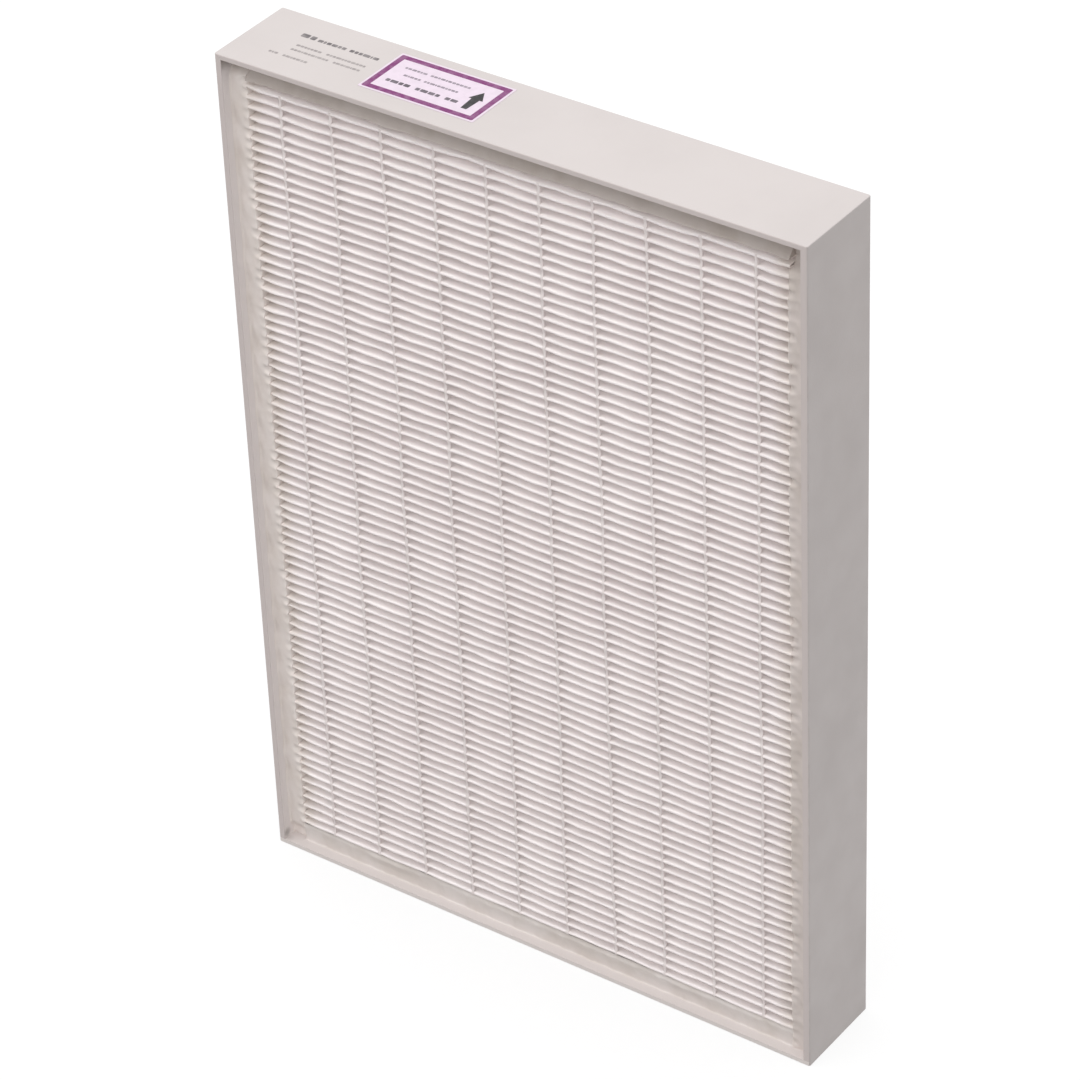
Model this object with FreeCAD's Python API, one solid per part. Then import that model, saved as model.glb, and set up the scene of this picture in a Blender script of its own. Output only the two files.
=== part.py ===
import FreeCAD, Part

# Pleated panel filter for a room air cleaner, standing upright on its lower end.
# Millimetres. X runs across the width, Y from the front face to the back face, Z up.
# The origin is the middle of the underside.

import math
import os

from FreeCAD import Vector

# Overall size
width = 364.0
height = 520.0
depth = 58.0

# Frame boards: the two end boards run over the full width, the side boards stand between them
end_board = 3.0
side_board = 4.0
corner_round = 1.2  # rounding of the frame's four upright corners
rim_round = 0.6  # rounding of an end board's outer face

# Adhesive beds between the frame and the folded sheet
side_bed_width = 10.5
upper_bed_width = 12.0
lower_bed_width = 9.0
bed_recess = 6.6  # from the frame's rim to the flat of the bed
bed_creep = 1.8  # how far the adhesive creeps up the board as it sets
upper_bed_fall = 9.0  # the upper bed's front slants this much further back to its board

# Folded sheet: the folds lie across the width and follow one another up the height
fold_recess = 6.0  # from the frame's rim to the crests of the folds
sheet_thickness = 0.6
fold_radius = 1.0  # outside of a fold
fold_flat_count = 6  # the outside of a fold is this many narrow flats
pleat_count = 80
flap_setback = 3.0  # the sheet's level end flaps stop this far behind the front crests

# Strands of hot-melt adhesive across the crests
bead_count = 10
bead_width = 1.8
bead_height = 0.7
bead_left = 21.9  # first strand, from the sheet's left end
bead_right = 19.1  # last strand, from the sheet's right end
bead_overrun = 0.9  # a strand runs on past the middle of its first and last crest

# Label on the upper end board
label_left = 84.0  # from the frame's left side
label_length = 72.5
label_front = 12.0  # from the front rim
label_back = 7.0  # from the back rim
label_corner = 0.8
label_thickness = 0.2

# What follows from them
half_width = width / 2
half_depth = depth / 2
inner_x = half_width - side_board
inner_bottom = end_board
inner_top = height - end_board
sheet_x = inner_x - side_bed_width
sheet_bottom = inner_bottom + lower_bed_width
sheet_top = inner_top - upper_bed_width
crest_y = half_depth - fold_recess
centre_y = crest_y - fold_radius  # middle of a fold's rounding
crease_radius = fold_radius - sheet_thickness  # inside of a fold
pitch = (sheet_top - sheet_bottom - 2 * fold_radius) / pleat_count


def box(low, high):
    """A block between two opposite corners."""
    return Part.makeBox(high[0] - low[0], high[1] - low[1], high[2] - low[2], Vector(*low))


def arc(start, middle, end):
    return Part.Arc(start, middle, end).toShape()


def line(start, end):
    return Part.LineSegment(start, end).toShape()


def prism(edges, run):
    """The solid that a closed outline sweeps along a straight run."""
    return Part.Face(Part.Wire(edges)).extrude(run)


def upright(shape):
    """The shape's upright edges."""
    return [edge for edge in shape.Edges if abs(edge.tangentAt(edge.FirstParameter).z) > 0.99]


def end_board_solid(inner_z, outer_z):
    """An end board, with rounded corners and the rim of its outer face rounded."""
    board = box(
        (-half_width, -half_depth, min(inner_z, outer_z)),
        (half_width, half_depth, max(inner_z, outer_z)),
    )
    board = board.makeFillet(corner_round, upright(board))
    rim = [
        edge
        for edge in board.Edges
        if all(abs(corner.Point.z - outer_z) < end_board / 2 for corner in edge.Vertexes)
    ]
    return board.makeFillet(min(rim_round, end_board / 2), rim)


def side_board_solid(side):
    """A side board between the end boards. side is -1 on the left and 1 on the right."""
    outer_x = side * half_width
    board = box(
        (min(side * inner_x, outer_x), -half_depth, inner_bottom),
        (max(side * inner_x, outer_x), half_depth, inner_top),
    )
    outer = [
        edge
        for edge in upright(board)
        if abs(edge.Vertexes[0].Point.x - outer_x) < side_board / 2
    ]
    return board.makeFillet(min(corner_round, side_board / 2), outer)


def bed_outline(point, wall, sheet, fall=0.0):
    """Section of an adhesive bed. It is flat beside the sheet and creeps up the board in a
    hollow quarter round. With a fall, its front slants back by that much towards the board
    instead. point(across, y) places a corner; wall and sheet are the bed's two limits."""
    toward = math.copysign(1.0, sheet - wall)
    flat_y = half_depth - bed_recess
    foot = wall + toward * bed_creep  # where the quarter round meets the flat
    lip_y = flat_y + bed_creep  # where it meets the board
    bow = wall + toward * bed_creep * (1 - math.sqrt(0.5))
    bow_y = flat_y + bed_creep * (1 - math.sqrt(0.5))
    if fall:
        front_y = fall - flat_y
        front = [line(point(sheet, -flat_y), point(wall, front_y))]
    else:
        front_y = -lip_y
        front = [
            line(point(sheet, -flat_y), point(foot, -flat_y)),
            arc(point(foot, -flat_y), point(bow, -bow_y), point(wall, front_y)),
        ]
    return front + [
        line(point(wall, front_y), point(wall, lip_y)),
        arc(point(wall, lip_y), point(bow, bow_y), point(foot, flat_y)),
        line(point(foot, flat_y), point(sheet, flat_y)),
        line(point(sheet, flat_y), point(sheet, -flat_y)),
    ]


def side_bed(side):
    """The bed that pots one end of every pleat to a side board, over the full inner height."""
    def corner(across, y):
        return Vector(across, y, inner_bottom)

    outline = bed_outline(corner, side * inner_x, side * sheet_x)
    return prism(outline, Vector(0, 0, inner_top - inner_bottom))


def end_bed(wall, sheet, fall=0.0):
    """The bed that holds one end flap of the sheet to an end board, between the side beds."""
    def corner(across, y):
        return Vector(-sheet_x, y, across)

    return prism(bed_outline(corner, wall, sheet, fall), Vector(2 * sheet_x, 0, 0))


def turn(centre, radius, side, low, high, flats):
    """Corners of a part turn about a fold's middle, evenly spaced between two angles from
    level. side is -1 at the front and 1 at the back."""
    corners = []
    for step in range(flats + 1):
        angle = low + (high - low) * step / flats
        out = Vector(0, side * math.cos(angle), math.sin(angle))
        corners.append(centre + out * radius)
    return corners


def pleated_sheet():
    """One sheet folded to and fro, with a level flap at each end. Each fold is round outside
    and creased nearly shut inside. The panels between folds are flat and lean by the angle
    at which a sheet passes from over one fold's middle to under the next one's."""
    middle_radius = fold_radius - sheet_thickness / 2
    reach = math.hypot(2 * centre_y, pitch / 2)
    lean = math.acos(2 * middle_radius / reach) - math.atan2(2 * centre_y, pitch / 2)
    square = math.pi / 2
    half_turn = square - lean
    flap_y = -crest_y + flap_setback

    def middle(y, number):
        return Vector(-sheet_x, y, sheet_bottom + fold_radius + number * pitch)

    # The sheet's two faces, each from the lower flap to the upper one
    front_face = []
    back_face = []
    for number in range(pleat_count + 1):
        low = -square if number == 0 else -half_turn
        high = square if number == pleat_count else half_turn
        back = middle(centre_y, number)
        front_face += turn(back, crease_radius, 1, low, high, 1)
        back_face += turn(back, fold_radius, 1, low, high, fold_flat_count)
        if number < pleat_count:
            front = middle(-centre_y, number + 0.5)
            front_face += turn(front, fold_radius, -1, -half_turn, half_turn, fold_flat_count)
            back_face += turn(front, crease_radius, -1, -half_turn, half_turn, 1)

    # The flaps' ends
    for face in (front_face, back_face):
        face.insert(0, Vector(-sheet_x, flap_y, face[0].z))
        face.append(Vector(-sheet_x, flap_y, face[-1].z))
    outline = front_face + back_face[::-1] + front_face[:1]
    return Part.Face(Part.makePolygon(outline)).extrude(Vector(2 * sheet_x, 0, 0))


def bead(number, side):
    """A strand across the crests: flat where it sits on them and round outside.
    side is -1 on the front and 1 on the back."""
    spread = 2 * sheet_x - bead_left - bead_right
    x = -sheet_x + bead_left + spread * number / max(bead_count - 1, 1)
    first = sheet_bottom + fold_radius + (pitch / 2 if side < 0 else 0)
    low = first - bead_overrun
    high = sheet_bottom + sheet_top - low  # as far from the sheet's upper end
    left = Vector(x - bead_width / 2, side * crest_y, low)
    right = Vector(x + bead_width / 2, side * crest_y, low)
    top = Vector(x, side * (crest_y + bead_height), low)
    return prism([arc(left, top, right), line(right, left)], Vector(0, 0, high - low))


def top_label():
    """A thin label with rounded corners, flat on the upper end board."""
    low = (-half_width + label_left, -half_depth + label_front, height)
    high = (low[0] + label_length, half_depth - label_back, height + label_thickness)
    label = box(low, high)
    return label.makeFillet(label_corner, upright(label))


def save(name, shape):
    shape.exportStep(os.path.join("parts", name + ".step"))


os.makedirs("parts", exist_ok=True)
save("top_board", end_board_solid(inner_top, height))
save("bottom_board", end_board_solid(inner_bottom, 0.0))
save("left_board", side_board_solid(-1))
save("right_board", side_board_solid(1))
save("left_bed", side_bed(-1))
save("right_bed", side_bed(1))
save("top_bed", end_bed(inner_top, sheet_top, upper_bed_fall))
save("bottom_bed", end_bed(inner_bottom, sheet_bottom))
save("pleated_sheet", pleated_sheet())
save("top_label", top_label())
for number in range(bead_count):
    save(f"front_bead_{number + 1:02d}", bead(number, -1))
    save(f"back_bead_{number + 1:02d}", bead(number, 1))
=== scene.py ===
import math

import bpy
import bmesh
import numpy as np
from mathutils import Matrix, Vector


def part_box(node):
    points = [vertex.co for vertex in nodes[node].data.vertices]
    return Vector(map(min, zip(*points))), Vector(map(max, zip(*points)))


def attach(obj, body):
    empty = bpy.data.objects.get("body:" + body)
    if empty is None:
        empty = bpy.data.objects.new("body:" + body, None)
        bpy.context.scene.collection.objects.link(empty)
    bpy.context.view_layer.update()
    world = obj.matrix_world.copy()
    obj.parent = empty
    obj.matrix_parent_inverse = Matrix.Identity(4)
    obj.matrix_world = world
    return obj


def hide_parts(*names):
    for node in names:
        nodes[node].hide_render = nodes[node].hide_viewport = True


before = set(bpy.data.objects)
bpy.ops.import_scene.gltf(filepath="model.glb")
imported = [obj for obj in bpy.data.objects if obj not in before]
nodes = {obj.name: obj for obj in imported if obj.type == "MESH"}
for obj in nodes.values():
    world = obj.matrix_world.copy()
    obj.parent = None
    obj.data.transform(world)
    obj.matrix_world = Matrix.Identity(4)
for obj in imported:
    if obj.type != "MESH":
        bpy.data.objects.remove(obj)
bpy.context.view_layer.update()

# A pleated panel filter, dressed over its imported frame. Metres, X across, Y to the back, Z up.

scene = bpy.context.scene


# Camera

camera = {
    "place": (1.2425, -1.682, 1.7198),
    "azimuth": 36.6,       # degrees round from the front towards the right
    "elevation": 34.85,    # degrees above level
    "roll": -2.41,         # degrees about the line of sight
    "lens": 159.2,         # millimetres, and so is the sensor
    "sensor": 36.0,
    "farClip": 50.0,
}


def addCamera():
    # looks back along its azimuth and elevation, then turns by its roll about that line
    azimuth = math.radians(camera["azimuth"])
    elevation = math.radians(camera["elevation"])
    roll = math.radians(camera["roll"])
    ahead = Vector((-math.sin(azimuth) * math.cos(elevation),
                    math.cos(azimuth) * math.cos(elevation),
                    -math.sin(elevation)))
    level = Vector((math.cos(azimuth), math.sin(azimuth), 0.0))
    upward = level.cross(ahead)
    right = level * math.cos(roll) + upward * math.sin(roll)
    up = upward * math.cos(roll) - level * math.sin(roll)
    data = bpy.data.cameras.new("camera")
    data.lens = camera["lens"]
    data.sensor_width = camera["sensor"]
    data.sensor_fit = "HORIZONTAL"
    data.clip_end = camera["farClip"]
    eye = bpy.data.objects.new("camera", data)
    scene.collection.objects.link(eye)
    turn = Matrix((right, up, -ahead)).transposed().to_4x4()
    eye.matrix_world = Matrix.Translation(camera["place"]) @ turn
    scene.camera = eye


addCamera()
print("camera set")


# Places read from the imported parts

halfWidth, halfDepth, frameTop = (float(side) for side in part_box("top_board")[1])
sheetLow, sheetHigh = (np.array(corner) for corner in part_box("pleated_sheet"))
sheetEnd = float(sheetHigh[0])
crest = float(sheetHigh[1])    # how far out the folds come, in front and behind
strandCount = 10
strandBoxes = [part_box(f"front_bead_{number:02d}") for number in range(1, strandCount + 1)]
strandPlaces = np.array([(low[0] + high[0]) / 2 for low, high in strandBoxes])
strandSpacing = (strandPlaces[-1] - strandPlaces[0]) / (strandCount - 1)


# Helpers shared by the pieces

def linear(red, green, blue):
    # colour picker values of 0 to 255 as linear light, by the curve that screens use
    picked = np.array([red, green, blue]) / 255.0
    light = np.where(picked <= 0.04045, picked / 12.92, ((picked + 0.055) / 1.055) ** 2.4)
    return (*(float(c) for c in light), 1.0)


def ripple(seed, lengths, across, along=0.0):
    # sum of sines of the given wavelengths, each in its own direction and phase; about 1 high
    rng = np.random.default_rng(seed)
    total = np.zeros(np.broadcast(across, along).shape)
    for length in lengths:
        heading = rng.uniform(0, math.pi)
        phase = rng.uniform(0, 2 * math.pi)
        travel = across * math.cos(heading) + along * math.sin(heading)
        total = total + np.sin(2 * math.pi * travel / length + phase)
    return total / math.sqrt(len(lengths))


def smooth(low, high, value):
    # rises from 0 at low to 1 at high on the curve 3t^2 - 2t^3
    t = np.clip((value - low) / (high - low), 0.0, 1.0)
    return t * t * (3 - 2 * t)


def loftMesh(name, grid, ribbonEnds=False):
    # grid[i, j] is point j round the closed section at station i: quads join neighbours.
    # Each end is one face, or a ribbon of quads where the section is a folded strip.
    stations, count = grid.shape[:2]
    start = np.arange(stations - 1)[:, None] * count
    here = np.arange(count)
    after = (here + 1) % count
    quads = np.stack([start + here, start + after, start + count + after, start + count + here], -1)
    faces = quads.reshape(-1, 4).tolist()
    last = (stations - 1) * count
    if ribbonEnds:
        side = np.arange(count // 2 - 1)
        strip = np.stack([side, side + 1, count - 2 - side, count - 1 - side], -1)
        faces += strip[:, ::-1].tolist() + (strip + last).tolist()
    else:
        faces += [list(range(count))[::-1], list(range(last, last + count))]
    return solidMesh(name, grid.reshape(-1, 3), faces)


def solidMesh(name, points, faces, sharpAngle=45.0):
    # a closed mesh with its faces outward, smooth but for edges sharper than the angle
    mesh = bpy.data.meshes.new(name)
    mesh.from_pydata(points.tolist(), [], faces)
    shell = bmesh.new()
    shell.from_mesh(mesh)
    if shell.calc_volume(signed=True) < 0:
        bmesh.ops.reverse_faces(shell, faces=shell.faces)
    shell.to_mesh(mesh)
    shell.free()
    mesh.polygons.foreach_set("use_smooth", np.ones(len(mesh.polygons), bool))
    mesh.set_sharp_from_angle(angle=math.radians(sharpAngle))
    mesh.update()
    piece = bpy.data.objects.new(name, mesh)
    scene.collection.objects.link(piece)
    return piece


def dress(piece, material, slot, *stoodFor):
    # gives a new piece its material and its body, and hides the CAD nodes that it stands for
    piece.data.materials.clear()
    piece.data.materials.append(material)
    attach(piece, "root")
    if stoodFor:
        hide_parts(*stoodFor)


def paint(node, material):
    # gives a CAD node's mesh a new material
    mesh = nodes[node].data
    mesh.materials.clear()
    mesh.materials.append(material)


# Materials

class Nodes:
    # the node tree of a material or of the world, with short ways to add to it

    def __init__(self, owner):
        owner.use_nodes = True
        self.tree = owner.node_tree

    def add(self, kind, **settings):
        node = self.tree.nodes.new(kind)
        for key, value in settings.items():
            setattr(node, key, value)
        return node

    def link(self, source, target):
        # joins a socket to the target, or sets the target to a number or a colour
        if isinstance(source, (int, float, tuple)):
            target.default_value = source
        else:
            self.tree.links.new(source, target)

    def math(self, operation, first, second=0.0):
        node = self.add("ShaderNodeMath", operation=operation)
        self.link(first, node.inputs[0])
        self.link(second, node.inputs[1])
        return node.outputs[0]

    def mix(self, share, first, second):
        node = self.add("ShaderNodeMix", data_type="RGBA")
        self.link(share, node.inputs["Factor"])
        self.link(first, node.inputs[6])
        self.link(second, node.inputs[7])
        return node.outputs[2]

    def rerange(self, value, low, high, toLow=0.0, toHigh=1.0):
        # maps low to high onto toLow to toHigh, easing at both ends
        node = self.add("ShaderNodeMapRange", interpolation_type="SMOOTHSTEP")
        limits = {"From Min": low, "From Max": high, "To Min": toLow, "To Max": toHigh}
        for key, number in limits.items():
            node.inputs[key].default_value = number
        self.link(value, node.inputs["Value"])
        return node.outputs["Result"]

    def fade(self, value, low, high, strength=1.0):
        # falls from the strength at low to 0 at high
        return self.rerange(value, low, high, strength, 0.0)

    def seen(self):
        # 1 where the camera looks, also by way of a mirror or through glass, and 0 otherwise
        path = self.add("ShaderNodeLightPath").outputs
        bent = self.math("MAXIMUM", path["Is Glossy Ray"], path["Is Transmission Ray"])
        return self.math("MAXIMUM", path["Is Camera Ray"], bent)


class Finish(Nodes):
    # a new material, with its shader and its place in the piece's own coordinates

    def __init__(self, name):
        self.material = bpy.data.materials.new(name)
        super().__init__(self.material)
        self.shader = self.tree.nodes["Principled BSDF"]
        self.place = self.add("ShaderNodeTexCoord").outputs["Object"]

    def axis(self, letter):
        split = self.add("ShaderNodeSeparateXYZ")
        self.link(self.place, split.inputs[0])
        return split.outputs[letter]

    def noise(self, scale, detail=3.0, roughness=0.55, stretch=(1, 1, 1)):
        # fractal noise; scale is in waves a metre, and a stretch under 1 draws it out
        spread = self.add("ShaderNodeMapping")
        spread.inputs["Scale"].default_value = stretch
        self.link(self.place, spread.inputs["Vector"])
        node = self.add("ShaderNodeTexNoise")
        node.inputs["Scale"].default_value = scale
        node.inputs["Detail"].default_value = detail
        node.inputs["Roughness"].default_value = roughness
        self.link(spread.outputs[0], node.inputs["Vector"])
        return node.outputs["Fac"]

    def patches(self, scale, detail=3.0, span=(0.3, 0.7), onto=(0.0, 1.0)):
        # noise whose values over the span are spread onto another range
        return self.rerange(self.noise(scale, detail), *span, *onto)

    def surface(self, colour, roughness, specular=0.5):
        self.link(colour, self.shader.inputs["Base Color"])
        self.link(roughness, self.shader.inputs["Roughness"])
        self.shader.inputs["Specular IOR Level"].default_value = specular

    def bump(self, height, strength, distance):
        # distance is the height of the bumps in metres
        node = self.add("ShaderNodeBump")
        node.inputs["Strength"].default_value = strength
        node.inputs["Distance"].default_value = distance
        self.link(height, node.inputs["Height"])
        self.link(node.outputs[0], self.shader.inputs["Normal"])


boardFinish = {
    "pale": linear(194, 187, 185),
    "dull": linear(190, 183, 181),
    # the inner faces, painted lighter than the outside as if lit by light thrown back from the pleats
    "inside": linear(229, 222, 220),
    "shaded": linear(176, 166, 161),    # painted shade on the inside, up under the top board
    "ledge": linear(210, 202, 199),     # inside, on the bottom board
    "rim": linear(208, 197, 194),
    "lowRim": linear(232, 224, 220),
    "edge": linear(184, 175, 172),
    # painted shade of the gap in the bottom left inner corner
    "cornerShade": linear(120, 116, 112),
    "clouds": 14.0,                     # waves a metre, as for the next three
    "rubbing": 160.0,
    "sheen": 60.0,
    "skin": (900.0, 35.0),
    "coarseSkin": 2.5,                  # how much stronger the second is
    "bump": (0.25, 0.00025),            # strength, height
    "roughness": (0.42, 0.58),
    "specular": 0.35,
}

boardLimits = {
    # where a finish begins and ends; the last of three numbers is its strength
    "side": (0.0034, 0.0038),        # in from the frame's side, as the inner faces begin
    "end": (0.0024, 0.0028),         # in from its top or foot
    "rim": (0.0001, 0.0003),         # back from its rim
    "rimStrength": 0.8,
    "shaded": (0.0125, 0.0040),      # down from its top
    "ledge": (0.0028, 0.0034),       # up from its foot, as for the next two
    "lowRim": (0.0028, 0.0032, 0.8),
    "foot": (0.0004, 0.0022, 0.55),
    "edge": (0.0, 0.0012),           # in from an edge, rubbed where two of them meet
    "cornerShadeAt": (-0.0265, 0.0062),   # y and z on the left board's inner face; next, away from there
    "cornerShade": (0.0004, 0.0046, 0.6),
    "cornerShadeFrom": (0.0030, 0.0036),  # in from the left, and the same for where it ends
    "cornerShadeTo": (0.0060, 0.0100),
}


def innerBoard(n, fromSide, fromRim, fromEnd):
    # the share of the boards' inner faces, 1 within all four walls and behind the rims, and
    # their colour by height: ledge, inside, shaded. The inner faces are painted lighter, as if lit by
    # light thrown back from the pleats, and are painted shade up under the top board
    limits = boardLimits
    height = n.axis("Z")
    within = n.math("MULTIPLY", n.rerange(fromSide, *limits["side"]), n.rerange(fromEnd, *limits["end"]))
    within = n.math("MULTIPLY", within, n.rerange(fromRim, *limits["rim"]))
    # painted shade on the inner faces up under the top board
    below, above = limits["shaded"]
    shadeUnderTop = n.rerange(height, frameTop - below, frameTop - above)
    colour = n.mix(shadeUnderTop, boardFinish["inside"], boardFinish["shaded"])
    return within, n.mix(n.fade(height, *limits["ledge"]), colour, boardFinish["ledge"])


def cornerShadeShare(n):
    # painted shade of a gap in the bottom left inner corner: falls off with the distance from one
    # point, on the left board's inner face and the part of the bottom board beside it
    limits = boardLimits
    squares = []
    for letter, middle in zip("YZ", limits["cornerShadeAt"]):
        offset = n.math("ABSOLUTE", n.math("SUBTRACT", n.axis(letter), middle))
        squares.append(n.math("POWER", offset, 2.0))
    share = n.fade(n.math("SQRT", n.math("ADD", *squares)), *limits["cornerShade"])
    across = n.axis("X")
    begins = n.rerange(across, *(inward - halfWidth for inward in limits["cornerShadeFrom"]))
    ends = n.fade(across, *(inward - halfWidth for inward in limits["cornerShadeTo"]))
    return n.math("MULTIPLY", n.math("MULTIPLY", share, begins), ends)


def boardMaterial():
    # white moulded board: faint clouding, a fine skin, rubbed outer edges, inner faces painted lighter
    # than the outside as if lit by light thrown back from the pleats, painted shade up under the top
    # board and in a gap at the bottom left inner corner, and a lower front rim painted lighter as lit from
    # the ground
    n = Finish("frameBoard")
    form = boardFinish
    limits = boardLimits
    middle = frameTop / 2
    fromSide = n.math("SUBTRACT", halfWidth, n.math("ABSOLUTE", n.axis("X")))
    fromRim = n.math("SUBTRACT", halfDepth, n.math("ABSOLUTE", n.axis("Y")))
    fromMiddle = n.math("ABSOLUTE", n.math("SUBTRACT", n.axis("Z"), middle))
    fromEnd = n.math("SUBTRACT", middle, fromMiddle)

    colour = n.mix(n.patches(form["clouds"], detail=4.0), form["pale"], form["dull"])
    within, inner = innerBoard(n, fromSide, fromRim, fromEnd)
    colour = n.mix(within, colour, inner)
    # painted shade in the gap at the bottom left inner corner
    colour = n.mix(cornerShadeShare(n), colour, form["cornerShade"])

    nearEdge = n.math("MULTIPLY", n.fade(fromSide, *limits["edge"]), n.fade(fromRim, *limits["edge"]))
    rubbed = n.math("MULTIPLY", nearEdge, n.patches(form["rubbing"], detail=5.0, span=(0.42, 0.62)))
    colour = n.mix(rubbed, colour, form["edge"])
    front = n.fade(n.axis("Y"), *(back - halfDepth for back in limits["rim"]))
    colour = n.mix(n.math("MULTIPLY", front, limits["rimStrength"]), colour, form["rim"])
    # the outer faces darken towards their foot, in the rubbed edges' colour
    foot = n.math("MULTIPLY", n.fade(n.axis("Z"), *limits["foot"]), n.math("SUBTRACT", 1.0, front))
    colour = n.mix(foot, colour, form["edge"])
    # painted light: the bottom board's front rim is lighter, as if lit from the ground
    lowRim = n.math("MULTIPLY", front, n.fade(n.axis("Z"), *limits["lowRim"]))
    colour = n.mix(lowRim, colour, form["lowRim"])

    n.surface(colour, n.patches(form["sheen"], detail=5.0, onto=form["roughness"]), form["specular"])
    fine, coarse = (n.noise(scale, detail=2.0) for scale in form["skin"])
    n.bump(n.math("ADD", fine, n.math("MULTIPLY", coarse, form["coarseSkin"])), *form["bump"])
    return n.material


paperFinish = {
    "pale": linear(251, 244, 243),
    "dull": linear(247, 239, 238),
    "stain": linear(236, 227, 221),
    "stained": (0.0, 0.013, 0.85),       # in from the pleats' ends, and how strongly
    "wander": 0.014,                     # by how much that reach varies
    "soaked": linear(238, 230, 227),
    "soakedBy": (0.0006, 0.0040, 0.1),   # to each side of a strand, and how strongly
    "soakedWander": 0.08,                # share of the wander there
    "fibres": 700.0,                     # waves a metre, as for the next three
    "clouds": 22.0,
    "unevenness": 90.0,
    "fluff": 2600.0,
    "lieOfFibres": (0.35, 1, 1),         # they are drawn out along the folds
    "bump": (0.35, 0.00018),             # strength, height
    "roughness": 0.9,
    "specular": 0.2,
}


def paperMaterial():
    # matt fibre paper, with glue soaked into the pleats' ends and faintly round the strands
    n = Finish("filterPaper")
    form = paperFinish
    fibres = n.noise(form["fibres"], detail=6.0, roughness=0.7, stretch=form["lieOfFibres"])
    mottle = n.rerange(n.math("ADD", fibres, n.noise(form["clouds"])), 0.8, 1.2)
    colour = n.mix(mottle, form["pale"], form["dull"])

    fromEnd = n.math("SUBTRACT", sheetEnd, n.math("ABSOLUTE", n.axis("X")))
    uneven = n.math("SUBTRACT", n.noise(form["unevenness"], detail=4.0), 0.5)
    wander = n.math("MULTIPLY", uneven, form["wander"])
    stained = n.fade(n.math("ADD", fromEnd, wander), *form["stained"])
    colour = n.mix(stained, colour, form["stain"])

    past = n.math("SUBTRACT", n.axis("X"), float(strandPlaces[0]))
    fromStrand = n.math("PINGPONG", past, float(strandSpacing / 2))
    unevenly = n.math("ADD", fromStrand, n.math("MULTIPLY", wander, form["soakedWander"]))
    colour = n.mix(n.fade(unevenly, *form["soakedBy"]), colour, form["soaked"])

    n.surface(colour, form["roughness"], form["specular"])
    n.bump(n.math("ADD", fibres, n.noise(form["fluff"], detail=2.0)), *form["bump"])
    return n.material


glueFinish = {
    # for each kind, where it lies thin and where it lies thick
    "left": (linear(234, 225, 220), linear(224, 214, 207)),
    # the right bed's glue, darker: painted shade from the right board's rim
    "right": (linear(216, 206, 201), linear(206, 196, 189)),
    # the upper bed's glue, darker: painted shade under the top board
    "upper": (linear(199, 189, 183), linear(188, 177, 169)),
    "lower": (linear(220, 212, 208), linear(211, 202, 196)),
    "strand": (linear(238, 229, 227), linear(231, 221, 219)),
    "shadeUnderTop": (0.0155, 0.0070),   # down from the frame's top, as side glue turns to the upper bed's tone: painted shade under the top board
    "grain": 500.0,                 # waves a metre
    "bump": (0.3, 0.0002),          # strength, height
    "roughness": (0.38, 0.6),
    "specular": 0.4,
}


def glueMaterial(name, kind, patch=45.0, shadeUnderTop=False):
    # set adhesive: waxy sheen, patches where it lies thicker; patch is in waves a metre. Its last
    # argument turns it to the upper bed's darker tone up against the top board: painted shade under the
    # board
    n = Finish(name)
    form = glueFinish
    colour = n.mix(n.patches(patch, detail=4.0, span=(0.38, 0.68)), *form[kind])
    # painted shade: near the top board the colour turns to the upper bed's darker tone
    if shadeUnderTop:
        below, above = form["shadeUnderTop"]
        shadeShare = n.rerange(n.axis("Z"), frameTop - below, frameTop - above)
        colour = n.mix(shadeShare, colour, form["upper"][1])
    n.surface(colour, n.patches(patch * 4, onto=form["roughness"]), form["specular"])
    n.bump(n.noise(form["grain"]), *form["bump"])
    return n.material


labelFinish = {
    "paper": linear(212, 197, 210),
    "aged": linear(206, 192, 204),
    "border": linear(112, 22, 98),
    "grey": linear(128, 118, 128),
    "dark": linear(84, 76, 84),
    "bold": linear(96, 90, 92),
    "pale": linear(142, 135, 134),
    "black": linear(24, 22, 24),
    "wear": 260.0,                # waves a metre, and so is the grain
    "grain": 1800.0,
    "bump": (0.12, 0.0001),       # strength, height
    "roughness": 0.45,
}


def printMaterial(name, ink, worn):
    # flat ink or coated paper, slightly uneven; worn is the second colour
    n = Finish(name)
    form = labelFinish
    colour = n.mix(n.patches(form["wear"], detail=4.0, span=(0.35, 0.7)), ink, worn)
    n.surface(colour, form["roughness"])
    n.bump(n.noise(form["grain"], detail=2.0), *form["bump"])
    return n.material


board = boardMaterial()
paper = paperMaterial()
leftGlue = glueMaterial("bedGlue", "left", shadeUnderTop=True)
rightGlueShaded = glueMaterial("rightGlueShaded", "right", shadeUnderTop=True)
upperGlue = glueMaterial("upperGlue", "upper")
lowerGlue = glueMaterial("lowerGlue", "lower")
strandGlue = glueMaterial("strandGlue", "strand", patch=120.0)
labelStock = printMaterial("labelStock", labelFinish["paper"], labelFinish["aged"])
for node in ("top_board", "bottom_board", "left_board", "right_board"):
    paint(node, board)
print("materials made")


# Folded sheet

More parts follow.
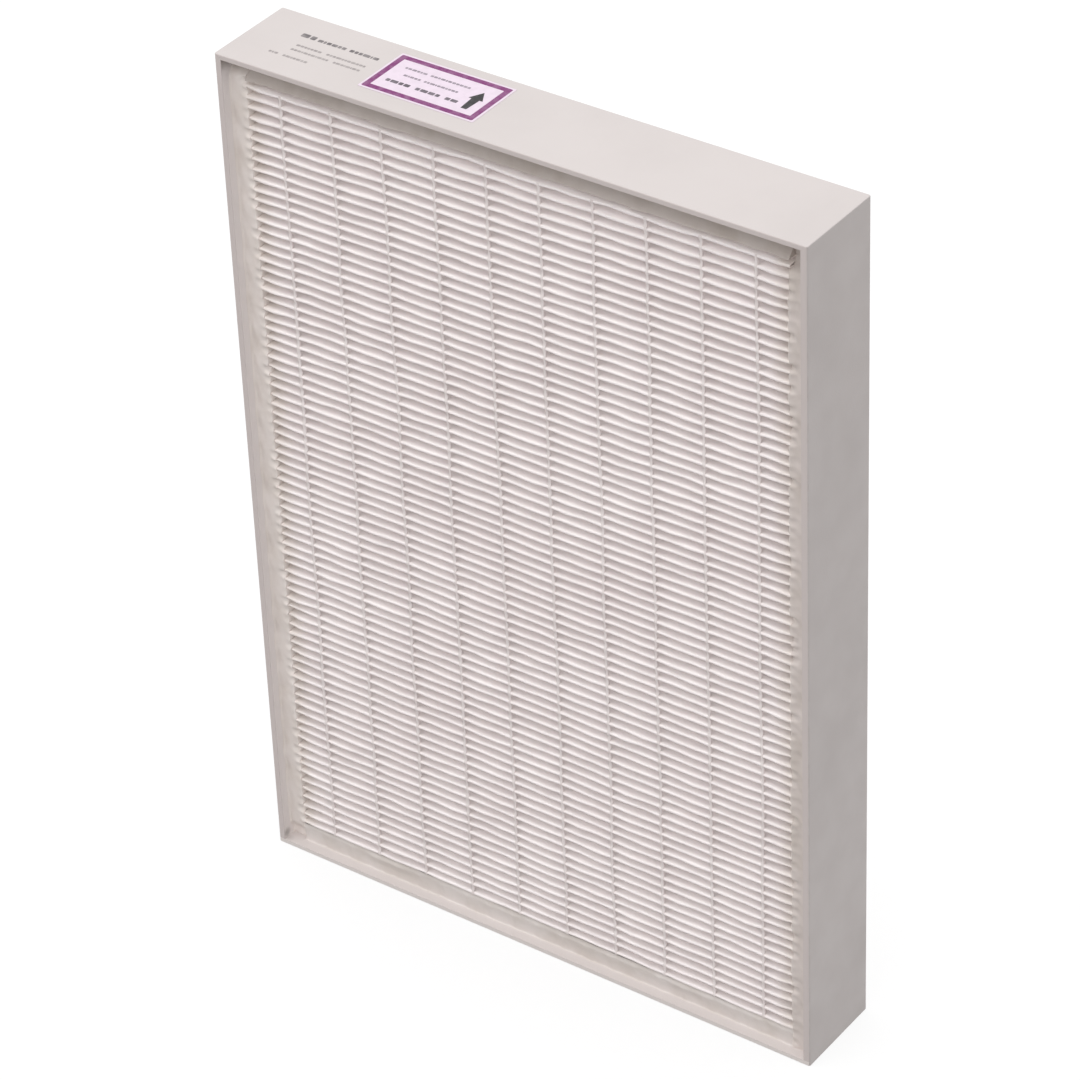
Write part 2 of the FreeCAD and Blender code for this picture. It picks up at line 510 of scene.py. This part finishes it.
foldedSheet = {
    "pleats": 80,
    "thickness": 0.0006,
    "foldRadius": 0.0010,
    "roundPoints": 6,         # points round each fold, inside and out
    "flapSetback": 0.0030,    # the end flaps stop this far behind the front crests
    "stray": 0.00030,         # folds stray this far up and down
    "sway": 0.00028,          # and this far in and out, most between the strands
    "swell": 0.14,            # and this share of their radius
    "shared": 0.9,            # height of the waves that all folds share
    "sharedWaves": (0.21, 0.12, 0.07),
    "own": (0.3, 0.8),        # least and greatest height of a fold's own waves
    "ownWaves": (0.085, 0.047, 0.029),
    "held": 0.25,             # share of its straying that is left to a fold under a strand
    "heldNear": 0.012,        # how far to each side a strand steadies the folds
    "strandPull": 0.00015,    # the strands draw the folds in
    "endReach": 0.0090,       # the pleats are drawn in by glue this near their ends
    "endPull": 0.00055,
    "endShrink": 0.28,        # and lose this share of their radius
    "endPower": 1.5,          # the higher, the fewer are drawn in far
    "endStations": (0.0, 0.0025, 0.009),
    "strandStation": 0.0015,
}

foldCount = 2 * foldedSheet["pleats"] + 1
foldPitch = (sheetHigh[2] - sheetLow[2] - 2 * foldedSheet["foldRadius"]) / foldedSheet["pleats"]
foldHeights = sheetLow[2] + foldedSheet["foldRadius"] + np.arange(foldCount) * foldPitch / 2


def foldShift(x):
    # how far each fold is moved at each x, up and outward, and the share by which its radius
    # grows. Folds share slow waves and have small ones of their own, which die out where a
    # strand holds them. Strands draw a fold in a little, and so does the glue at its two ends,
    # each by a random amount.
    form = foldedSheet
    x = np.asarray(x, float)[None, :]
    height = foldHeights[:, None]
    rng = np.random.default_rng(11)
    nearest = np.min(np.abs(x[:, :, None] - strandPlaces[None, None, :]), axis=2)
    free = smooth(0.0, form["heldNear"], nearest)
    own = np.zeros((foldCount, x.shape[1], 3))
    for length in form["ownWaves"]:
        phase = rng.uniform(0, 2 * math.pi, (foldCount, 1, 3))
        wave = np.sin(2 * math.pi * x[:, :, None] / length + phase)
        own += wave * rng.uniform(*form["own"], (foldCount, 1, 3))
    shared = ripple(3, form["sharedWaves"], x, height)
    loose = form["held"] + (1 - form["held"]) * free
    rise = form["stray"] * (form["shared"] * shared + own[..., 0] * loose)
    out = form["sway"] * own[..., 1] * free - form["strandPull"] * (1 - free)
    swell = form["swell"] * own[..., 2] * free
    end = smooth(form["endReach"], 0.0, sheetEnd - np.abs(x))
    pulled = rng.uniform(0.0, 1.0, (foldCount, 2)) ** form["endPower"]
    pull = np.where(x < 0, pulled[:, :1], pulled[:, 1:]) * end
    out = out - form["endPull"] * pull
    swell = swell - form["endShrink"] * pull
    rise[[0, -1]] *= 0.0     # the end flaps lie on their beds
    swell[[0, -1]] *= 0.0
    return rise, out, swell


def sheetStations():
    # places along the folds: the ends, both sides of each strand, and two between the strands
    beside = foldedSheet["strandStation"]
    edges = np.concatenate([[-sheetEnd], strandPlaces, [sheetEnd]])
    spans = edges[1:] - edges[:-1]
    middles = np.concatenate([edges[:-1] + spans * share for share in (1 / 3, 2 / 3)])
    ends = sheetEnd - np.array(foldedSheet["endStations"])
    return np.sort(np.concatenate([strandPlaces - beside, strandPlaces + beside, middles, ends, -ends]))


def sheetPiece():
    # each fold is a part circle about its middle, round outside and creased inside, from its
    # lower panel to its upper one; the panels are the straight spans between two folds
    form = foldedSheet
    outer = form["foldRadius"]
    inner = outer - form["thickness"]
    centreY = crest - outer
    reach = math.hypot(2 * centreY, foldPitch / 2)
    lean = math.acos((outer + inner) / reach) - math.atan2(2 * centreY, foldPitch / 2)
    square = math.pi / 2
    x = sheetStations()
    rise, out, swell = foldShift(x)
    side = np.where(np.arange(foldCount) % 2 == 0, 1.0, -1.0)
    low = np.full(foldCount, lean - square)
    high = np.full(foldCount, square - lean)
    low[0] = -square
    high[-1] = square
    share = np.linspace(0, 1, form["roundPoints"])
    angle = low[:, None] + (high - low)[:, None] * share

    def chain(radius, folds):
        # y and z of the points round the given folds: fold, point, station
        wide = radius * (1 + swell[folds][:, None, :])
        y = side[folds][:, None, None] * (centreY + out[folds][:, None, :]
                                          + wide * np.cos(angle[folds])[:, :, None])
        z = (foldHeights[folds][:, None, None] + rise[folds][:, None, :]
             + wide * np.sin(angle[folds])[:, :, None])
        return np.stack([y, z], -1)

    backs = np.arange(0, foldCount, 2)
    fronts = np.arange(1, foldCount, 2)
    faces = []
    for backRadius, frontRadius in ((inner, outer), (outer, inner)):
        atBack = chain(backRadius, backs)
        atFront = chain(frontRadius, fronts)
        pairs = np.concatenate([atBack[:-1], atFront], axis=1)
        face = np.concatenate([pairs.reshape(-1, len(x), 2), atBack[-1]])
        flapEnds = face[[0, -1]]
        flapEnds[..., 0] = form["flapSetback"] - crest
        faces.append(np.concatenate([flapEnds[:1], face, flapEnds[1:]]))
    section = np.concatenate([faces[0], faces[1][::-1]])
    grid = np.empty((len(x), len(section), 3))
    grid[..., 0] = x[:, None]
    grid[..., 1:] = section.transpose(1, 0, 2)
    return loftMesh("foldedSheet", grid, ribbonEnds=True)


dress(sheetPiece(), paper, "medium", "pleated_sheet")
print("folded sheet made")


# Strands of adhesive across the folds

strand = {
    "halfWidth": 0.00075,
    "uneven": 0.22,           # share by which that varies
    "unevenWaves": (0.018, 0.0071, 0.0043),
    "proud": 0.00028,         # over a crest
    "sag": 0.00050,           # between two crests
    "sags": (0.4, 1.5),       # least and greatest share of that
    "web": 0.0015,            # how far a strand reaches in between two pleats
    "webs": (0.7, 1.2),       # least and greatest share of that
    "webSlope": 0.04,
    "skin": 0.00005,          # how far it lies into the paper, and its least thickness
    "edgeDrop": 0.00030,      # how far its edges lie under its ridge
    "wander": 0.00035,        # to the sides
    "wanderWaves": (0.17, 0.09, 0.05),
    "overrun": 0.0009,        # past its first and last crest
}


def strandPiece(name, node, side, seed):
    # a strand's section is five points over its outside and two on its inside. Its outside
    # swings on a cosine between crests; its inside follows the fold's circle, then drops
    # down between the panels to the foot of the web
    form = strand
    low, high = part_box(node)
    middle = (low[0] + high[0]) / 2
    radius = foldedSheet["foldRadius"]
    rise, out = foldShift([middle])[:2]
    folds = np.arange(1, foldCount, 2) if side < 0 else np.arange(0, foldCount, 2)
    onFold = radius * np.array([0.45, 0.8, 1.0])
    offFold = radius + form["web"] * form["webSlope"]
    offset = np.concatenate([[-foldPitch / 2, -offFold], -onFold[::-1], [0.0], onFold, [offFold]])
    atCrest = len(offset) // 2
    rng = np.random.default_rng(seed)
    sag = form["sag"] * rng.uniform(*form["sags"], (len(folds), 1))
    web = form["web"] * rng.uniform(*form["webs"], (len(folds), 1))
    away = np.abs(offset)[None, :]
    z = (foldHeights[folds] + rise[folds, 0])[:, None] + offset
    crestOut = crest + out[folds, 0][:, None]
    swing = (1 - np.cos(2 * math.pi * offset / foldPitch))[None, :] / 2
    top = crestOut + form["proud"] - (form["proud"] + sag) * swing
    curve = radius - np.sqrt(np.maximum(radius ** 2 - np.minimum(away, radius) ** 2, 0.0))
    bottom = crestOut - np.where(away > radius, web, curve) - form["skin"]
    kept = (z > z[0, atCrest] - form["overrun"]) & (z < z[-1, atCrest] + form["overrun"])
    z, top, bottom = (np.broadcast_to(value, z.shape)[kept] for value in (z, top, bottom))
    wide = form["halfWidth"] * (1 + form["uneven"] * ripple(seed, form["unevenWaves"], z))
    x = middle + form["wander"] * ripple(seed + 50, form["wanderWaves"], z)
    spread = np.array([-1.0, -0.6, 0.0, 0.6, 1.0])
    grid = np.empty((len(z), 7, 3))
    grid[..., 2] = z[:, None]
    grid[:, :5, 0] = x[:, None] + wide[:, None] * spread
    grid[:, :5, 1] = top[:, None] - form["edgeDrop"] * spread ** 2
    grid[:, 5:, 0] = x[:, None] + wide[:, None] * np.array([1.0, -1.0])
    grid[:, 5:, 1] = np.minimum(bottom, top - form["edgeDrop"] - form["skin"])[:, None]
    grid[..., 1] *= side
    return loftMesh(name, grid)


for number in range(1, strandCount + 1):
    for side, word in ((-1, "front"), (1, "back")):
        node = f"{word}_bead_{number:02d}"
        piece = strandPiece(f"{word}Strand{number:02d}", node, side, 100 * number + side)
        dress(piece, strandGlue, "strand", node)
print("strands made")


# Adhesive beds round the sheet

bed = {
    "recess": 0.0066,         # from the rim to the bed's flat
    "lumps": 0.00030,
    # the side beds alone
    "creep": 0.0012,          # how far glue has crept up the board
    "edge": 0.6,              # share of the width from where the flat turns to the crests
    "overCrest": 0.00015,     # the lap lies this far over the crests
    "crestPower": 1.4,        # the higher, the less of a pleat's height counts as its crest
    "valleyDrop": 0.0030,     # the lap sinks this far in a valley that was left open
    "filledDrop": 0.12,       # share of that in a filled one
    "filled": 3.5,            # the higher, the more of the valleys are filled
    "openShort": 0.8,         # share of the fill that is missing in an open one
    "lapMiddle": 0.8,         # the lap, as shares of its bed's
    "lapVaries": 0.5,
    "leastLap": 0.0002,
    "tuck": 0.0025,           # the lap's inner edge turns in by this much more
    "leastTuck": 0.0004,
    "stationsPerPleat": 8,
}

sideGlue = {
    "left_bed": {
        "lap": 0.0003,                  # how far it laps over the crests' ends
        "fill": 0.0008,                 # and how much further in the valleys that it filled
        "footDrop": 0.0030,             # how far its front lies back at its foot, where it ran short
        "footReach": (0.004, 0.010),    # up to where that is whole, and where it ends
        "topDrop": 0.0060,              # and the same at its top, downward
        "topReach": (0.0, 0.012),
    },
    "right_bed": {
        "lap": 0.0009,
        "fill": 0.0024,
        "footDrop": 0.0,
        "footReach": (0.004, 0.010),
        "topDrop": 0.0062,
        "topReach": (0.014, 0.022),
    },
}


def creepUp(fromWall, creep):
    # the hollow quarter round where glue has crept up the board: height above the flat
    t = np.clip(1 - fromWall / creep, 0.0, 1.0)
    return creep * (1 - np.sqrt(np.maximum(1 - t * t, 0.0)))


def sideBedFace(z, width, form, face, seed):
    # across and out of one face of a side bed: flat with lumps, crept up the board, and
    # lapped over the pleats' ends. Between two crests it sinks along a hollow curve, shallow
    # where the glue filled the valley and steep where it left it open
    share = np.array([0.0, 0.03, 0.07, 0.12, 0.18, 0.32, 0.46, 0.6, 0.74, 0.86, 0.95, 1.0])
    inward = np.array([0.2, 0.45, 0.7, 0.88, 1.0])
    fromWall = np.broadcast_to(share * width, (len(z), len(share)))
    out = halfDepth - bed["recess"] + creepUp(fromWall, bed["creep"])
    out += bed["lumps"] * ripple(seed, (0.031, 0.017, 0.009, 0.006), fromWall, z[:, None])
    turns = (z - foldHeights[1 if face < 0 else 0]) / foldPitch
    onCrest = (0.5 + 0.5 * np.cos(2 * math.pi * turns)) ** bed["crestPower"]
    rng = np.random.default_rng(seed + 1)
    gaps = rng.uniform(0.0, 1.0, foldedSheet["pleats"] + 3) ** bed["filled"]
    gap = gaps[np.clip(np.floor(turns).astype(int) + 1, 0, len(gaps) - 1)]
    sunk = (1 - onCrest) * bed["valleyDrop"] * (bed["filledDrop"] + gap)
    lip = (crest + bed["overCrest"] - sunk)[:, None]
    edge = smooth(bed["edge"], 1.0, share)[None, :]
    out = out * (1 - edge) + lip * edge
    varied = bed["lapMiddle"] + bed["lapVaries"] * ripple(seed + 2, (0.047, 0.019, 0.011), z)
    lap = np.maximum(form["lap"] * varied, bed["leastLap"])
    reach = lap + (1 - onCrest) * form["fill"] * (1 - bed["openShort"] * gap)
    hollow = 1 - np.sqrt(1 - inward ** 2)
    depth = bed["valleyDrop"] + bed["tuck"] - (sunk + bed["tuck"]) * onCrest
    lapOut = lip - hollow * np.maximum(depth, bed["leastTuck"])[:, None]
    across = np.concatenate([fromWall, width + inward * reach[:, None]], axis=1)
    return across, np.concatenate([out, lapOut], axis=1)


def ranShort(z, low, high, form):
    # how far the front lies back at each height: eases from a whole drop near an end to none
    footFull, footNone = form["footReach"]
    topFull, topNone = form["topReach"]
    nearFoot = 1 - smooth(low + footFull, low + footNone, z)
    nearTop = smooth(high - topNone, high - topFull, z)
    return form["footDrop"] * nearFoot + form["topDrop"] * nearTop


def sideBed(name, node, side, seed):
    # a tube of sections up the height: the front face from board to sheet, then the back
    low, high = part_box(node)
    form = sideGlue[node]
    wall = low[0] if side < 0 else high[0]
    width = high[0] - low[0]
    pleatsHigh = foldedSheet["pleats"] + 4    # with the stretches past both ends of the pleats
    steps = pleatsHigh * bed["stationsPerPleat"]
    z = np.linspace(low[2], high[2], steps + 1)
    across, front = sideBedFace(z, width, form, -1, seed)
    front = front - ranShort(z, low[2], high[2], form)[:, None]
    backAcross, back = sideBedFace(z, width, form, 1, seed + 20)
    hidden = np.full((len(z), 1), 0.6 * crest)    # the two corners inside the pleats' ends
    inner = np.full((len(z), 1), abs(wall) - sheetEnd)
    grid = np.empty((len(z), 2 * across.shape[1] + 2, 3))
    grid[..., 0] = wall - side * np.concatenate([across, inner, inner, backAcross[:, ::-1]], axis=1)
    grid[..., 1] = np.concatenate([-front, -hidden, hidden, back[:, ::-1]], axis=1)
    grid[..., 2] = z[:, None]
    return loftMesh(name, grid)


endGlue = {
    "stations": 221,
    "creep": 0.0007,          # how far glue has crept up an end board
    "fall": 0.0090,           # the top bed's front slants back by this towards its board
    "smear": (0.0002, 0.0007),    # over the last fold: at least, and more in places
    # the bottom bed wells up to the first fold: shares of the way up, and how far each lies
    # behind the crests; the last turns back in at the bed's own top
    "wellUp": (0.3, 0.6, 0.85, 1.0, 0.0),
    "wellBehind": (0.0006, 0.0010, 0.0008, 0.0004, 0.0045),
    "wellUnder": 0.75,        # share of the fold's radius that it stops below its middle
    "wellLumps": 0.0002,
}


def endBed(name, node, seed):
    # a tube of sections across the width: lumpy front and back faces between the end board
    # and the sheet's flap, crept up the board and smeared a little over the last fold. The
    # top bed slants back in front; the bottom one wells up over the flap to the first fold
    form = endGlue
    low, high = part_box(node)
    atTop = low[2] > frameTop / 2
    wall, toward = (high[2], -1.0) if atTop else (low[2], 1.0)
    width = high[2] - low[2]
    x = np.linspace(low[0], high[0], form["stations"])
    share = np.array([0.0, 0.03, 0.08, 0.14, 0.3, 0.45, 0.6, 0.75, 0.88, 0.96, 1.0])
    fromWall = np.broadcast_to(share * width, (len(x), len(share)))
    least, more = form["smear"]
    faces = []
    for face in (-1, 1):
        lumps = ripple(seed + face, (0.052, 0.027, 0.014, 0.008), fromWall, x[:, None])
        out = halfDepth - bed["recess"] + creepUp(fromWall, form["creep"]) + bed["lumps"] * lumps
        if atTop and face < 0:
            out = out - form["fall"] * (1 - share)
        smear = np.clip(ripple(seed + 5 + face, (0.09, 0.041, 0.022), x), 0, 1)[:, None]
        faces.append(out + (least + more * smear) * smooth(0.5, 1.0, share))
    front, back = faces
    across = fromWall
    if not atTop:
        rise = foldHeights[1] - form["wellUnder"] * foldedSheet["foldRadius"] - high[2]
        upward = width + np.array(form["wellUp"]) * rise
        across = np.concatenate([across, np.broadcast_to(upward, (len(x), len(upward)))], axis=1)
        lumps = form["wellLumps"] * ripple(seed + 9, (0.033, 0.015), x)[:, None]
        front = np.concatenate([front, crest - np.array(form["wellBehind"]) + lumps], axis=1)
    grid = np.empty((len(x), across.shape[1] + len(share), 3))
    grid[..., 0] = x[:, None]
    grid[..., 1] = np.concatenate([-front, back[:, ::-1]], axis=1)
    grid[..., 2] = wall + toward * np.concatenate([across, fromWall[:, ::-1]], axis=1)
    return loftMesh(name, grid)


dress(sideBed("leftBed", "left_bed", -1, 301), leftGlue, "potting", "left_bed")
dress(sideBed("rightBed", "right_bed", 1, 341), rightGlueShaded, "potting", "right_bed")
dress(endBed("topBed", "top_bed", 381), upperGlue, "potting", "top_bed")
dress(endBed("bottomBed", "bottom_bed", 401), lowerGlue, "potting", "bottom_bed")
print("adhesive beds made")


# Label and print: fields of colour and plain blocks

printing = {
    "film": 0.00004,          # thickness of the ink
    "margin": 0.0013,         # label showing outside its border
    "border": 0.0034,
    "borderCorner": 0.0009,
    "labelRows": (            # place behind the front rim, height, ink, then each bar's start and end
        (0.0397, 0.0020, "grey", ((0.0945, 0.1086), (0.1106, 0.1359))),
        (0.0330, 0.0020, "grey", ((0.0982, 0.1092), (0.1112, 0.1328))),
        (0.0250, 0.0032, "dark", ((0.0930, 0.1085), (0.1117, 0.1273), (0.1304, 0.1386))),
    ),
    "boardRows": (
        (0.0296, 0.0021, "pale", ((0.0316, 0.0480), (0.0510, 0.0764))),
        (0.0247, 0.0021, "pale", ((0.0316, 0.0560), (0.0590, 0.0764))),
        (0.0173, 0.0022, "pale", ((0.0229, 0.0290), (0.0320, 0.0480))),
        (0.0393, 0.0030, "bold", ((0.0385, 0.0570), (0.0590, 0.0780))),
        (0.0400, 0.0044, "bold", ((0.0273, 0.0375),)),
    ),
    # a bar's blocks, as shares of its row's height
    "blockLength": 1.1,
    "blockVaries": 0.3,
    "blockHeight": 0.8,
    "blockGap": 0.2,
    "blockCorner": 0.15,
}

pointer = {
    "middle": 0.1444,         # from the frame's left side
    "foot": 0.0210,           # from the front rim, and so is the tip
    "tip": 0.0395,
    "width": 0.0088,
    "headLength": 0.9,        # share of its width
    "stem": 0.0050,
    "stemFoot": 0.35,         # half its foot's width, as a share of the stem's
}

inkWear = {
    # what each ink is printed on, and how far its second colour has gone towards that
    "border": ("paper", 0.12),
    "grey": ("paper", 0.2),
    "dark": ("paper", 0.15),
    "black": ("paper", 0.05),
    "pale": ("board", 0.3),
    "bold": ("board", 0.25),
}


def inkMaterial(ink):
    # an ink whose second colour lies part of the way to what it is printed on
    ground, wear = inkWear[ink]
    under = labelFinish["paper"] if ground == "paper" else boardFinish["pale"]
    worn = tuple(a + (b - a) * wear for a, b in zip(labelFinish[ink], under))
    return printMaterial(f"{ink}Ink", labelFinish[ink], worn)


def roundedBar(x0, y0, x1, y1, corner, steps=4):
    # outline of a rectangle whose corners are quarter circles
    corner = min(corner, (x1 - x0) / 2, (y1 - y0) / 2)
    angle = np.linspace(0, math.pi / 2, steps + 1)
    points = []
    for cx, cy, turn in ((x1 - corner, y1 - corner, 0), (x0 + corner, y1 - corner, 1),
                         (x0 + corner, y0 + corner, 2), (x1 - corner, y0 + corner, 3)):
        a = angle + turn * math.pi / 2
        points.append(np.stack([cx + corner * np.cos(a), cy + corner * np.sin(a)], -1))
    return np.concatenate(points)


def film(name, outlines, z, hole=None):
    # thin flat plates of ink at height z. Each outline is a prism, or, with a hole of as many
    # points, a ring of quads
    points = []
    faces = []
    base = 0
    for outline in outlines:
        ring = outline if hole is None else np.concatenate([outline, hole])
        total = len(ring)
        flat = np.column_stack([ring, np.full(total, z)])
        points.append(np.concatenate([flat, flat + np.array([0, 0, printing["film"]])]))
        count = len(outline)
        here = np.arange(count)
        after = (here + 1) % count
        if hole is None:
            faces.append((base + here[::-1]).tolist())
            faces.append((base + total + here).tolist())
        else:
            under = np.stack([here, here + count, after + count, after], -1)
            faces += (base + under).tolist()
            faces += (base + total + under[:, ::-1]).tolist()
        wall = np.stack([here, after, after + total, here + total], -1)
        faces += (base + wall).tolist()
        if hole is not None:
            faces += (base + (wall + count)[:, ::-1]).tolist()
        base += 2 * total
    return solidMesh(name, np.concatenate(points), faces)


def printRows(name, rows, z):
    # rows of plain blocks of ink at height z, measured from the frame's left side and front
    # rim. Each bar is cut into blocks of about its row's height in length
    form = printing
    rng = np.random.default_rng(len(rows))
    for index, (offset, tall, ink, bars) in enumerate(rows):
        foot = offset - halfDepth - tall / 2
        head = foot + form["blockHeight"] * tall
        corner = tall * form["blockCorner"]
        outlines = []
        for start, end in bars:
            count = max(1, round((end - start) / (tall * form["blockLength"])))
            edges = np.linspace(start, end, count + 1) - halfWidth
            vary = form["blockVaries"]
            edges[1:-1] += rng.uniform(-vary, vary, count - 1) * tall
            rights = edges[1:] - form["blockGap"] * tall
            outlines += [roundedBar(left, foot, right, head, corner) for left, right in zip(edges, rights)]
        dress(film(f"{name}{index + 1}", outlines, z), inks[ink], "label")


def labelPrint():
    # a coloured border, three rows of plain blocks, and a pointer
    low, high = (np.array(corner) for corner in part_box("top_label"))
    outer = np.concatenate([low[:2] + printing["margin"], high[:2] - printing["margin"]])
    inner = outer + printing["border"] * np.array([1, 1, -1, -1])
    ring = roundedBar(*outer, printing["borderCorner"])
    hole = roundedBar(*inner, printing["borderCorner"] / 2)
    dress(film("labelBorder", [ring], high[2], hole), inks["border"], "label")
    printRows("labelRow", printing["labelRows"], high[2])
    x = pointer["middle"] - halfWidth
    foot = pointer["foot"] - halfDepth
    tip = pointer["tip"] - halfDepth
    neck = tip - pointer["width"] * pointer["headLength"]
    wing = pointer["width"] / 2
    stem = pointer["stem"] / 2
    toe = pointer["stem"] * pointer["stemFoot"]
    arrow = np.array([(x, tip), (x - wing, neck), (x - stem, neck), (x - toe, foot),
                      (x + toe, foot), (x + stem, neck), (x + wing, neck)])
    dress(film("labelPointer", [arrow], high[2]), inks["black"], "label")


inks = {ink: inkMaterial(ink) for ink in inkWear}
paint("top_label", labelStock)
labelPrint()
printRows("boardRow", printing["boardRows"], frameTop)
print("label and print made")


# Floor, light and background

studio = {
    "floorSize": 30.0,
    "floorColour": 0.24,      # as it lights the object
    "floorSeen": 0.95,        # as the camera sees it
    "floorGlow": 0.80,        # share of the camera's view of the floor that is plain white
    "ambient": 1.14,
    "keyFrom": (-0.10, -0.16, 1.0),   # direction of the main lamp from the object
    "keyAway": 3.0,
    "keySize": 2.2,
    "keyPower": 26.0,
}


def addFloor():
    # a large pale plane; the camera sees it mostly as plain white, with the object's shadow
    half = studio["floorSize"] / 2
    corners = [(-half, -half, 0), (half, -half, 0), (half, half, 0), (-half, half, 0)]
    mesh = bpy.data.meshes.new("floor")
    mesh.from_pydata(corners, [], [(0, 1, 2, 3)])
    floor = bpy.data.objects.new("floor", mesh)
    scene.collection.objects.link(floor)
    n = Finish("floorWhite")
    seen = n.seen()
    n.surface(n.rerange(seen, 0.0, 1.0, studio["floorColour"], studio["floorSeen"]), 0.9, 0.0)
    glow = n.add("ShaderNodeEmission")
    glow.inputs["Strength"].default_value = 1.0
    blend = n.add("ShaderNodeMixShader")
    n.link(n.math("MULTIPLY", seen, studio["floorGlow"]), blend.inputs[0])
    n.link(n.shader.outputs[0], blend.inputs[1])
    n.link(glow.outputs[0], blend.inputs[2])
    n.link(blend.outputs[0], n.tree.nodes["Material Output"].inputs["Surface"])
    mesh.materials.append(n.material)


def addWorld():
    # plain white where seen or mirrored, and an even light of another strength elsewhere
    world = bpy.data.worlds.new("studio")
    scene.world = world
    n = Nodes(world)
    light = n.tree.nodes["Background"]
    light.inputs["Color"].default_value = (1, 1, 1, 1)
    n.link(n.rerange(n.seen(), 0.0, 1.0, studio["ambient"], 1.0), light.inputs["Strength"])


def addKey():
    # one large soft lamp above, in front and a little to the left
    data = bpy.data.lights.new("key", "AREA")
    data.shape = "DISK"
    data.size = studio["keySize"]
    data.energy = studio["keyPower"]
    lamp = bpy.data.objects.new("key", data)
    scene.collection.objects.link(lamp)
    toward = Vector(studio["keyFrom"]).normalized()
    aim = Vector((0.0, 0.0, sheetHigh[2] / 2))
    lamp.matrix_world = (Matrix.Translation(aim + toward * studio["keyAway"])
                         @ toward.to_track_quat("Z", "Y").to_matrix().to_4x4())


addFloor()
addWorld()
addKey()
scene.view_settings.view_transform = "Standard"
print("studio set")
